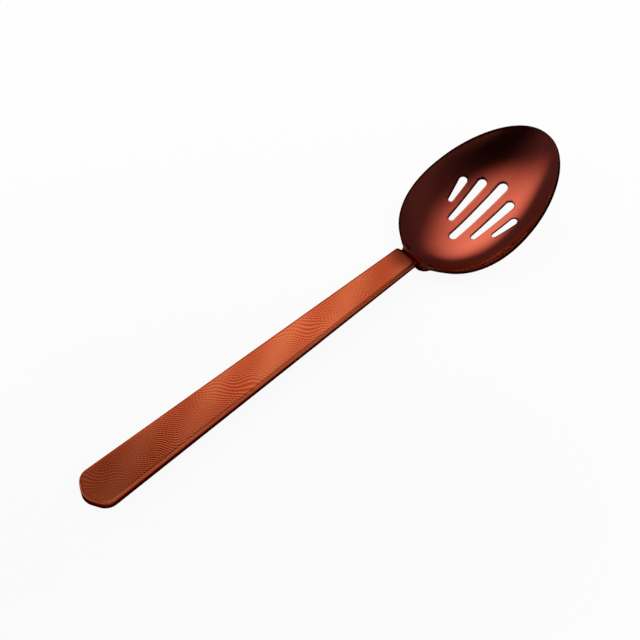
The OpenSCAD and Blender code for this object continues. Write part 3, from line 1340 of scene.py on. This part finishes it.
@dataclass(frozen=True)
class MirrorCopper:
    """Stainless steel, polished and coated in a copper-coloured vapour film.

    It gives deep, soft-edged reflections with a red-brown tint, paler at low angles, and a faint
    cloud of wiping marks. Dark shade is painted on its edges and walls, and at the neck.
    """

    light_colour: str = "#ED755B"
    deep_colour: str = "#E66C53"
    grazing_colour: str = "#F2B5A6"
    # Painted dark shade at the neck, and painted dark shade on the edges and walls.
    neck_shade_colour: str = "#7A3522"
    edge_shade_colour: str = "#30120B"
    edge_span: tuple[float, float] = (0.0, 0.3)
    roughness: float = 0.13
    rough_shares: tuple[float, float] = (0.8, 1.25)
    cloud_mm: float = 14.0
    mark_mm: float = 0.9
    mark_height_mm: float = 0.0006

    def build(self) -> Material:
        """Make the material.

        Returns:
            The material.
        """
        material, tree, output = new_material("mirror_copper")
        place = add_node(tree, "ShaderNodeTexCoord").outputs["Object"]
        cloud = add_node(tree, "ShaderNodeTexNoise", inputs={
            "Vector": place, "Scale": 1.0 / (self.cloud_mm * MM), "Detail": 3.0, "Roughness": 0.55})
        tint = add_node(tree, "ShaderNodeValToRGB", inputs={"Fac": cloud.outputs["Fac"]})
        set_ramp(tint, [(NOISE_LOW, self.deep_colour), (NOISE_HIGH, self.light_colour)])
        marks = add_node(tree, "ShaderNodeTexNoise", inputs={
            "Vector": place, "Scale": 1.0 / (self.mark_mm * MM), "Detail": 2.0})
        colours = []
        # Both colours take the painted dark shade at the neck and on the edges and walls.
        for face in (tint.outputs["Color"], linear(self.grazing_colour)):
            stem = toned(tree, face, "neck", self.neck_shade_colour)
            colours.append(toned(tree, stem, "wall", self.edge_shade_colour, self.edge_span))
        coat(tree, output, tuple(colours), self.roughness, self.rough_shares,
             (cloud.outputs["Fac"], marks.outputs["Fac"]), self.mark_height_mm)
        return material


@dataclass(frozen=True)
class HammeredCopper:
    """The same copper film over a pressed hammered pattern.

    Its dents catch the light as small bright scales, darker in their beds. Brown shade is painted
    on the wall under the pattern, as a soft dark line along the handle's edge, and at the neck.
    """

    ridge_colour: str = "#F68253"
    bed_colour: str = "#CE4C29"
    ridge_to_bed: tuple[float, float] = (0.35, 0.95)
    # Painted dark shade at the neck, and painted brown shade on the wall.
    neck_shade_colour: str = "#7A3522"
    wall_shade_colour: str = "#78341F"
    wall_span: tuple[float, float] = (0.75, 1.0)
    roughness: float = 0.22
    rough_shares: tuple[float, float] = (0.85, 1.2)
    grain_mm: float = 0.35
    grain_height_mm: float = 0.006
    cloud_mm: float = 22.0
    cloud_share: float = 0.4

    def build(self) -> Material:
        """Make the material.

        Returns:
            The material.
        """
        material, tree, output = new_material("hammered_copper")
        place = add_node(tree, "ShaderNodeTexCoord").outputs["Object"]
        dent = add_node(tree, "ShaderNodeAttribute", {"attribute_name": "dent"}).outputs["Fac"]
        cloud = add_node(tree, "ShaderNodeTexNoise", inputs={
            "Vector": place, "Scale": 1.0 / (self.cloud_mm * MM), "Detail": 4.0})
        wear = add_node(tree, "ShaderNodeMath", {"operation": "MULTIPLY_ADD"}, {
            0: cloud.outputs["Fac"], 1: self.cloud_share, 2: dent})
        tint = add_node(tree, "ShaderNodeValToRGB", inputs={"Fac": wear.outputs["Value"]})
        set_ramp(tint, list(zip(self.ridge_to_bed, (self.ridge_colour, self.bed_colour))))
        grain = add_node(tree, "ShaderNodeTexNoise", inputs={
            "Vector": place, "Scale": 1.0 / (self.grain_mm * MM), "Detail": 2.0}).outputs["Fac"]
        # Painted dark shade at the neck, then painted brown shade on the wall under the pattern.
        neck = toned(tree, tint.outputs["Color"], "neck", self.neck_shade_colour)
        colour = toned(tree, neck, "wall", self.wall_shade_colour, self.wall_span)
        coat(tree, output, (colour, colour), self.roughness, self.rough_shares,
             (grain, grain), self.grain_height_mm)
        return material


@dataclass(frozen=True)
class SatinCopper:
    """Copper film over a surface brushed along the handle, with painted dark shade on its walls.

    It gives a soft, lengthwise sheen, and its sides are darkened by the painted shade.
    """

    name: str
    light_colour: str
    dark_colour: str
    dark_to_light: tuple[float, float] = (0.35, 0.65)
    # Painted dark shade on the walls.
    wall_shade_colour: str = "#431A10"
    wall_span: tuple[float, float] = (0.6, 0.78)
    roughness: float = 0.34
    rough_shares: tuple[float, float] = (0.8, 1.2)
    line_mm: float = 0.25
    line_len_mm: float = 9.0
    line_height_mm: float = 0.003

    def build(self) -> Material:
        """Make the material.

        Returns:
            The material.
        """
        material, tree, output = new_material(self.name)
        place = add_node(tree, "ShaderNodeTexCoord").outputs["Object"]
        across = 1.0 / (self.line_mm * MM)
        stretch = add_node(tree, "ShaderNodeMapping", inputs={
            "Vector": place, "Scale": (1.0 / (self.line_len_mm * MM), across, across)})
        lines = add_node(tree, "ShaderNodeTexNoise", inputs={
            "Vector": stretch.outputs["Vector"], "Scale": 1.0, "Detail": 3.0}).outputs["Fac"]
        tint = add_node(tree, "ShaderNodeValToRGB", inputs={"Fac": lines})
        set_ramp(tint, list(zip(self.dark_to_light, (self.dark_colour, self.light_colour))))
        # Painted dark shade on the walls.
        colour = toned(tree, tint.outputs["Color"], "wall", self.wall_shade_colour, self.wall_span)
        coat(tree, output, (colour, colour), self.roughness, self.rough_shares,
             (lines, lines), self.line_height_mm)
        return material


@dataclass(frozen=True)
class CastResin:
    """Grey-brown casting resin with fine filler: dull, slightly mottled, never metallic."""

    light_colour: str = "#6A6459"
    dark_colour: str = "#4B463D"
    dark_to_light: tuple[float, float] = (0.35, 0.7)
    roughness: float = 0.6
    filler_mm: float = 0.4
    filler_height_mm: float = 0.02

    def build(self) -> Material:
        """Make the material.

        Returns:
            The material.
        """
        material, tree, output = new_material("cast_resin")
        place = add_node(tree, "ShaderNodeTexCoord").outputs["Object"]
        filler = add_node(tree, "ShaderNodeTexNoise", inputs={
            "Vector": place, "Scale": 1.0 / (self.filler_mm * MM), "Detail": 4.0}).outputs["Fac"]
        tint = add_node(tree, "ShaderNodeValToRGB", inputs={"Fac": filler})
        set_ramp(tint, list(zip(self.dark_to_light, (self.dark_colour, self.light_colour))))
        bump = add_node(tree, "ShaderNodeBump", inputs={
            "Height": filler, "Distance": self.filler_height_mm * MM})
        shader = add_node(tree, "ShaderNodeBsdfPrincipled", inputs={
            "Base Color": tint.outputs["Color"], "Roughness": self.roughness,
            "Normal": bump.outputs["Normal"]})
        tree.links.new(shader.outputs["BSDF"], output.inputs["Surface"])
        return material


def seen_again(tree: Tree, first: Socket | tuple, again: str) -> Socket:
    """Change the colour of a glowing thing where metal shows it by way of other metal.

    Args:
        tree: the node tree.
        first: colour for the camera and for a first reflection.
        again: sRGB colour for later reflections.

    Returns:
        The colour to use.
    """
    depth = add_node(tree, "ShaderNodeLightPath").outputs["Glossy Depth"]
    later = add_node(tree, "ShaderNodeMapRange", inputs={
        "Value": depth, "From Min": 1.0, "From Max": 2.0})
    shown = add_node(tree, "ShaderNodeMix", {"data_type": "RGBA"}, {
        "Factor": later.outputs["Result"], COLOUR_A: first, COLOUR_B: linear(again)})
    return shown.outputs[MIXED_COLOUR]


def rectangle(left: float, right: float, near: float, far: float) -> list[tuple[float, float]]:
    """Corners of a rectangle that reaches so far from its centre on each side."""
    return [(-left, -near), (right, -near), (right, far), (-left, far)]


@dataclass(frozen=True)
class SoftPanel:
    """A panel over the table, level with the handle's top, that fades out towards its edges.

    Lengths are in millimetres. The spans run left, right, near and far from the centre to where
    the cloth ends, and the fades say how far in from each of those ends it reaches full tone.
    """

    name: str
    centre: tuple[float, float, float]
    turn: float
    spans: tuple[float, float, float, float]
    fades: tuple[float, float, float, float]
    middle_colour: str
    rim_colour: str
    strength: float = 1.0
    cover: float = 1.0
    again_colour: str = ""

    def cloth(self) -> Material:
        """Make the glowing cloth, which fades to nothing towards its ends.

        Returns:
            The material.
        """
        left, right, near, far = self.spans
        material, tree, output = new_material(self.name)
        place = add_node(tree, "ShaderNodeUVMap", {"uv_map": "cloth"}).outputs["UV"]
        parted = add_node(tree, "ShaderNodeSeparateXYZ", inputs={0: place}).outputs
        cover = self.cover
        widths = (left + right, left + right, near + far, near + far)
        for axis, end, fade, width in zip("XXYY", (0.0, 1.0, 0.0, 1.0), self.fades, widths):
            full = abs(end - fade / width)
            ramp = add_node(tree, "ShaderNodeMapRange", {"interpolation_type": "SMOOTHSTEP"}, {
                "Value": parted[axis], "From Min": end, "From Max": full}).outputs["Result"]
            cover = add_node(tree, "ShaderNodeMath", {"operation": "MULTIPLY"}, {
                0: cover, 1: ramp}).outputs["Value"]
        tone = add_node(tree, "ShaderNodeMix", {"data_type": "RGBA"}, {
            "Factor": cover, COLOUR_A: linear(self.rim_colour), COLOUR_B: linear(self.middle_colour)})
        shown = seen_again(tree, tone.outputs[MIXED_COLOUR], self.again_colour or self.middle_colour)
        clear = add_node(tree, "ShaderNodeBsdfTransparent")
        glow = add_node(tree, "ShaderNodeEmission", inputs={
            "Color": shown, "Strength": self.strength})
        blend = add_node(tree, "ShaderNodeMixShader", inputs={
            0: cover, 1: clear.outputs["BSDF"], 2: glow.outputs["Emission"]})
        tree.links.new(blend.outputs["Shader"], output.inputs["Surface"])
        return material

    def build(self, pose: RestingPose) -> None:
        """Make the panel. Metal and the table see it, the camera doesn't.

        Args:
            pose: the resting pose.
        """
        along = np.array([math.cos(self.turn), math.sin(self.turn), 0.0])
        across = np.array([-math.sin(self.turn), math.cos(self.turn), 0.0])
        corners = np.array([
            np.array(self.centre) + along * u + across * v for u, v in rectangle(*self.spans)])
        thing = stage_piece(self.name, pose.placed(corners), [[0, 1, 2, 3]], self.cloth())
        layer = thing.data.uv_layers.new(name="cloth")
        layer.data.foreach_set("uv", np.array([0, 0, 1, 0, 1, 1, 0, 1], dtype=np.float32))
        thing.visible_camera = False


def stage_piece(name: str, points: Array, faces: list, material: Material) -> Piece:
    """Make a studio object that isn't part of the spoon.

    Args:
        name: its name.
        points: its corners in metres.
        faces: its faces.
        material: its material.

    Returns:
        The object.
    """
    mesh = bpy.data.meshes.new(name)
    mesh.from_pydata(points, [], faces)
    thing = bpy.data.objects.new(name, mesh)
    mesh.materials.append(material)
    bpy.context.scene.collection.objects.link(thing)
    return thing


@dataclass(frozen=True)
class Studio:
    """White paper and surroundings, four panels and a dim room that the metal shows.

    The soft box gives the bowl its highlight, the flag darkens the bowl's far side, and two small
    panels light the handle's near edge and its tail.
    """

    table_size: float = 8.0
    table_colour: str = "#FFFFFF"
    table_glow_share: float = 0.92
    table_gap_mm: float = 0.05
    softbox: SoftPanel = SoftPanel(
        "softbox", (345.0, 337.0, 282.0), math.radians(28.0), (314.0, 502.0, 358.0, 322.0),
        (165.0, 600.0, 328.0, 481.0), "#F3FFFB", "#F3D0D0", strength=1.28, again_colour="#58BEC8")
    flag: SoftPanel = SoftPanel(
        "dark_flag", (30.0, -92.0, 286.0), 0.0, (330.0, 330.0, 330.0, 330.0),
        (240.0, 240.0, 240.0, 240.0), "#050302", "#050302", cover=0.93, again_colour="#5A8C96")
    strip: SoftPanel = SoftPanel(
        "edge_strip", (90.0, -60.0, 60.0), 0.0, (190.0, 160.0, 190.0, 56.0),
        (60.0, 30.0, 60.0, 12.0), "#FFFFFF", "#FFFFFF", strength=0.42)
    tail_panel: SoftPanel = SoftPanel(
        "tail_panel", (-50.0, 24.0, 58.0), 0.0, (150.0, 117.0, 60.0, 70.0),
        (50.0, 60.0, 20.0, 30.0), "#FFFFFF", "#FFFFFF", strength=0.24)
    room_radius: float = 3.0
    room_colour: str = "#4A454F"
    room_again_colour: str = "#5A8C96"
    room_steps: tuple[int, int] = (49, 13)
    room_foot: float = math.radians(1.0)

    def build(self, pose: RestingPose) -> None:
        """Make the table, the panels, the room and the world.

        Args:
            pose: the resting pose.
        """
        self.table()
        for panel in (self.softbox, self.flag, self.strip, self.tail_panel):
            panel.build(pose)
        self.room()
        self.world()

    @staticmethod
    def show_white(tree: Tree) -> Socket:
        """Pick out rays from the camera, and those that metal and glass show.

        Args:
            tree: the node tree.

        Returns:
            A factor that is 1 for them.
        """
        path = add_node(tree, "ShaderNodeLightPath").outputs
        first = add_node(tree, "ShaderNodeMath", {"operation": "MAXIMUM"}, {
            0: path["Is Camera Ray"], 1: path["Is Glossy Ray"]})
        return add_node(tree, "ShaderNodeMath", {"operation": "MAXIMUM"}, {
            0: first.outputs["Value"], 1: path["Is Transmission Ray"]}).outputs["Value"]

    def table(self) -> None:
        """White paper on the table; most of its brightness is its own, so shadows stay light."""
        material, tree, output = new_material("white_paper")
        paper = add_node(tree, "ShaderNodeBsdfDiffuse", inputs={"Color": linear(self.table_colour)})
        glow = add_node(tree, "ShaderNodeEmission", inputs={"Strength": 1.0})
        share = add_node(tree, "ShaderNodeMath", {"operation": "MULTIPLY"}, {
            0: self.show_white(tree), 1: self.table_glow_share})
        blend = add_node(tree, "ShaderNodeMixShader", inputs={
            0: share.outputs["Value"], 1: paper.outputs["BSDF"], 2: glow.outputs["Emission"]})
        tree.links.new(blend.outputs["Shader"], output.inputs["Surface"])
        corners = rectangle(*[self.table_size / 2.0] * 4)
        level = -self.table_gap_mm * MM
        stage_piece("table", np.array([(x, y, level) for x, y in corners]), [[0, 1, 2, 3]], material)

    def room(self) -> None:
        """The dim room round the set: a dome, from azimuths and rises, that only metal shows."""
        around = np.linspace(0.0, 2.0 * math.pi, self.room_steps[0])
        rise = np.linspace(self.room_foot, math.radians(90.0), self.room_steps[1])
        a, e = np.meshgrid(around, rise, indexing="ij")
        outward = np.stack([np.cos(a) * np.cos(e), np.sin(a) * np.cos(e), np.sin(e)], axis=-1)
        points = self.room_radius * outward.reshape(-1, 3)
        faces = grid_quads(np.arange(a.size).reshape(a.shape)).tolist()
        material, tree, output = new_material("dim_room")
        shown = seen_again(tree, linear(self.room_colour), self.room_again_colour)
        glow = add_node(tree, "ShaderNodeEmission", inputs={"Color": shown, "Strength": 1.0})
        tree.links.new(glow.outputs["Emission"], output.inputs["Surface"])
        thing = stage_piece("room", points, faces, material)
        thing.visible_camera = thing.visible_diffuse = thing.visible_shadow = False

    def world(self) -> None:
        """White surroundings."""
        world = bpy.data.worlds.new("white_surroundings")
        world.use_nodes = True
        tree = world.node_tree
        tree.nodes.clear()
        sky = add_node(tree, "ShaderNodeBackground", inputs={
            "Color": linear("#FFFFFF"), "Strength": 1.0})
        output = add_node(tree, "ShaderNodeOutputWorld")
        tree.links.new(sky.outputs["Background"], output.inputs["Surface"])
        bpy.context.scene.world = world


@dataclass(frozen=True)
class ProductCamera:
    """Long lens, looking down on the spoon from its tail's right-hand side.

    The view was worked out in the handle's frame, so the pose turns it with the spoon.
    """

    tilt: float = math.radians(35.586)
    turn: float = math.radians(42.605)
    distance: float = 1500.0
    target: tuple[float, float, float] = (152.5, 0.0, 0.0)
    pixels_per_mm: float = 2.052
    target_right: float = 4.22
    target_up: float = 3.68
    picture: float = 640.0
    sensor: float = 36.0
    clip_end: float = 100.0

    def build(self, pose: RestingPose) -> Piece:
        """Make the camera and set it as the scene's.

        Args:
            pose: the resting pose.

        Returns:
            The camera.
        """
        back = np.array([-math.sin(self.turn) * math.sin(self.tilt),
                         -math.cos(self.turn) * math.sin(self.tilt), math.cos(self.tilt)])
        right = np.array([math.cos(self.turn), -math.sin(self.turn), 0.0])
        up = np.cross(back, right)
        off = (right * self.target_right + up * self.target_up) / self.pixels_per_mm
        aim = np.array(self.target) - off
        place = pose.placed(aim + back * self.distance)
        axes = [pose.turned(v) for v in (right, up, back)]
        data = bpy.data.cameras.new("product_camera")
        data.sensor_width = self.sensor
        data.lens = self.pixels_per_mm * self.distance * self.sensor / self.picture
        data.clip_end = self.clip_end
        camera = bpy.data.objects.new("product_camera", data)
        columns = np.column_stack([*axes, place])
        camera.matrix_world = Matrix([*columns.tolist(), [0.0, 0.0, 0.0, 1.0]])
        bpy.context.scene.collection.objects.link(camera)
        bpy.context.scene.camera = camera
        return camera


def dress_kept_nodes() -> None:
    """Give the CAD nodes that stay in the picture their finishes."""
    grain_mm = 0.6
    seam = SatinCopper("weld_copper", "#4A1E12", "#3A170E", roughness=0.4, line_len_mm=grain_mm)
    # The neck weld's dark colour is a dark joint that also carries on the painted shade of the neck
    # bend.
    neck = SatinCopper("neck_shade_weld_copper", "#773520", "#6B2D1B", roughness=0.3, line_len_mm=grain_mm)
    for name, finish in (("seam_weld", seam), ("neck_weld", neck), ("tang_resin", CastResin())):
        material = finish.build()
        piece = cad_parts[name]
        piece.data.materials.clear()
        piece.data.materials.append(material)
        log.info("%s: kept from the frame, finish %s", name, material.name)


def main() -> None:
    """Build the spoon, the studio and the camera."""
    bowl_form = BowlForm()
    pose = RestingPose.of(bowl_form)
    log.info("pitch %.4f degrees", math.degrees(pose.pitch))
    hammered = HammeredCopper().build()
    satin = SatinCopper("satin_copper", "#7A3B28", "#5E2B1C").build()
    bowl = SlottedBowl(pose, bowl_form)
    bowl.dress(bowl.build(), MirrorCopper().build(), satin)
    top = HandleShell(pose, ShellSide.UPPER, "hammered_top")
    top.dress(top.build(), hammered)
    bottom = HandleShell(pose, ShellSide.LOWER, "plain_underside", step=0.8, edge_steps=5)
    bottom.dress(bottom.build(), satin)
    dress_kept_nodes()
    Studio().build(pose)
    ProductCamera().build(pose)
    bpy.context.scene.view_settings.view_transform = "Standard"


if __name__ == "__main__":
    main()
